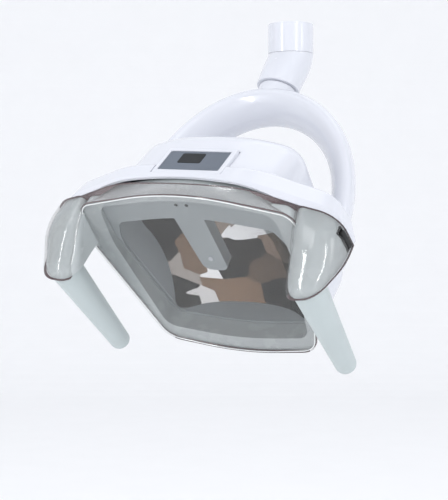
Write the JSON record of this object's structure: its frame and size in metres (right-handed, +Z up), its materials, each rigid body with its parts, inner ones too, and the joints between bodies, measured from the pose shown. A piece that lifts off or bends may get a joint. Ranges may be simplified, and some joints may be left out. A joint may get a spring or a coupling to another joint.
{
  "type": "dental operating light",
  "caption": "Dental operating light: vertical post, swivelling elbow, arched yoke, tilting lamp head with clear guard, curved mirror and pull-off grips.",
  "frame": {"origin": "centre of the post's top face, where the support arm clamps it", "axes": "+Z up along the post, +X to the right and -Y towards a viewer who faces the light, as it hangs at rest"},
  "size_m": [0.2892, 0.2684, 0.3364],
  "materials": {
    "white_shell": "gloss moulded white plastic with a faint cool tint",
    "post_paint": "white gloss paint on metal tube",
    "steel": "turned and ground steel",
    "bearing_plastic": "natural acetal",
    "grey_frame": "satin light grey moulding",
    "duct_grey": "satin blue-grey moulding",
    "clear_shield": "clear polycarbonate with polished edges",
    "panel_slate": "fine brushed slate-grey plate",
    "dark_window": "smoked glossy plastic",
    "mirror": "metallised reflector",
    "aluminium": "bare and cast aluminium",
    "board_green": "solder-masked circuit board",
    "lamp_yellow": "phosphor-coated light source",
    "black_switch": "fine-grained black plastic",
    "grip_grey": "satin grey, sterilisable plastic"
  },
  "bodies": {
    "post": {"post_tube": "post_paint", "post_bush": "bearing_plastic", "post_stop_screw": "steel"},
    "elbow": {"elbow_casting": "post_paint", "elbow_spindle": "steel", "elbow_thrust_washer": "bearing_plastic", "elbow_circlip": "steel", "yoke_swivel_bush": "bearing_plastic", "yoke_stop_screw": "steel"},
    "yoke": {"yoke_front_shell": "white_shell", "yoke_rear_shell": "white_shell", "yoke_strap": "steel", "yoke_neck_collar": "post_paint", "yoke_spindle": "steel", "yoke_thrust_washer": "bearing_plastic", "yoke_circlip": "steel", "pivot_bush_right": "bearing_plastic", "pivot_cap_right": "white_shell", "pivot_bush_left": "bearing_plastic", "pivot_cap_left": "white_shell"},
    "head": {"top_cover": "white_shell", "rear_cover": "white_shell", "cover_screws": "steel", "panel_bezel": "white_shell", "panel_plate": "panel_slate", "sensor_window": "dark_window", "sensor_board": "board_green", "front_frame": "grey_frame", "front_plate": "grey_frame", "sensor_eyes": "dark_window", "tongue_screw": "steel", "lamp_heat_sink": "aluminium", "lamp_board": "board_green", "lamp_chips": "lamp_yellow", "light_duct": "duct_grey", "reflector": "mirror", "reflector_retainer": "black_switch", "chassis_plate": "aluminium", "driver_board": "board_green", "board_standoffs": "bearing_plastic", "pivot_hub_right": "aluminium", "pivot_spacer_right": "bearing_plastic", "pivot_pin_right": "steel", "pivot_washer_right": "steel", "pivot_nut_right": "steel", "pivot_hub_left": "aluminium", "pivot_spacer_left": "bearing_plastic", "pivot_pin_left": "steel", "pivot_washer_left": "steel", "pivot_nut_left": "steel", "clear_shield": "clear_shield", "switch_housing": "black_switch", "switch_pin": "steel", "grip_stem_right": "steel", "grip_stem_left": "steel"},
    "grip_right": {"grip_right": "grip_grey"},
    "grip_left": {"grip_left": "grip_grey"},
    "switch": {"side_switch": "black_switch"}
  },
  "joints": [
    {"name": "elbow_swivel", "type": "hinge", "parent": "post", "child": "elbow", "pos_m": [0, 0, -0.02], "axis": [0, 0, 1], "range_deg": [-160, 160]},
    {"name": "yoke_swivel", "type": "hinge", "parent": "elbow", "child": "yoke", "pos_m": [0, 0, -0.02], "axis": [0.2592, 0.3535, 0.8988], "range_deg": [-160, 160]},
    {"name": "head_tilt", "type": "hinge", "parent": "yoke", "child": "head", "pos_m": [-0.05773, -0.07873, -0.22016], "axis": [0.8689, -0.4916, -0.0572], "range_deg": [-30, 45]},
    {"name": "grip_right_pull", "type": "slide", "parent": "head", "child": "grip_right", "axis": [0.3344, 0.7153, -0.6136], "range_m": [0, 0.06]},
    {"name": "grip_left_pull", "type": "slide", "parent": "head", "child": "grip_left", "axis": [0.3796, 0.6897, -0.6166], "range_m": [0, 0.06]},
    {"name": "side_switch_rock", "type": "hinge", "parent": "head", "child": "switch", "pos_m": [0.03261, -0.21591, -0.21635], "axis": [0.3856, 0.6, 0.7009], "range_deg": [-6, 6]}
  ]
}
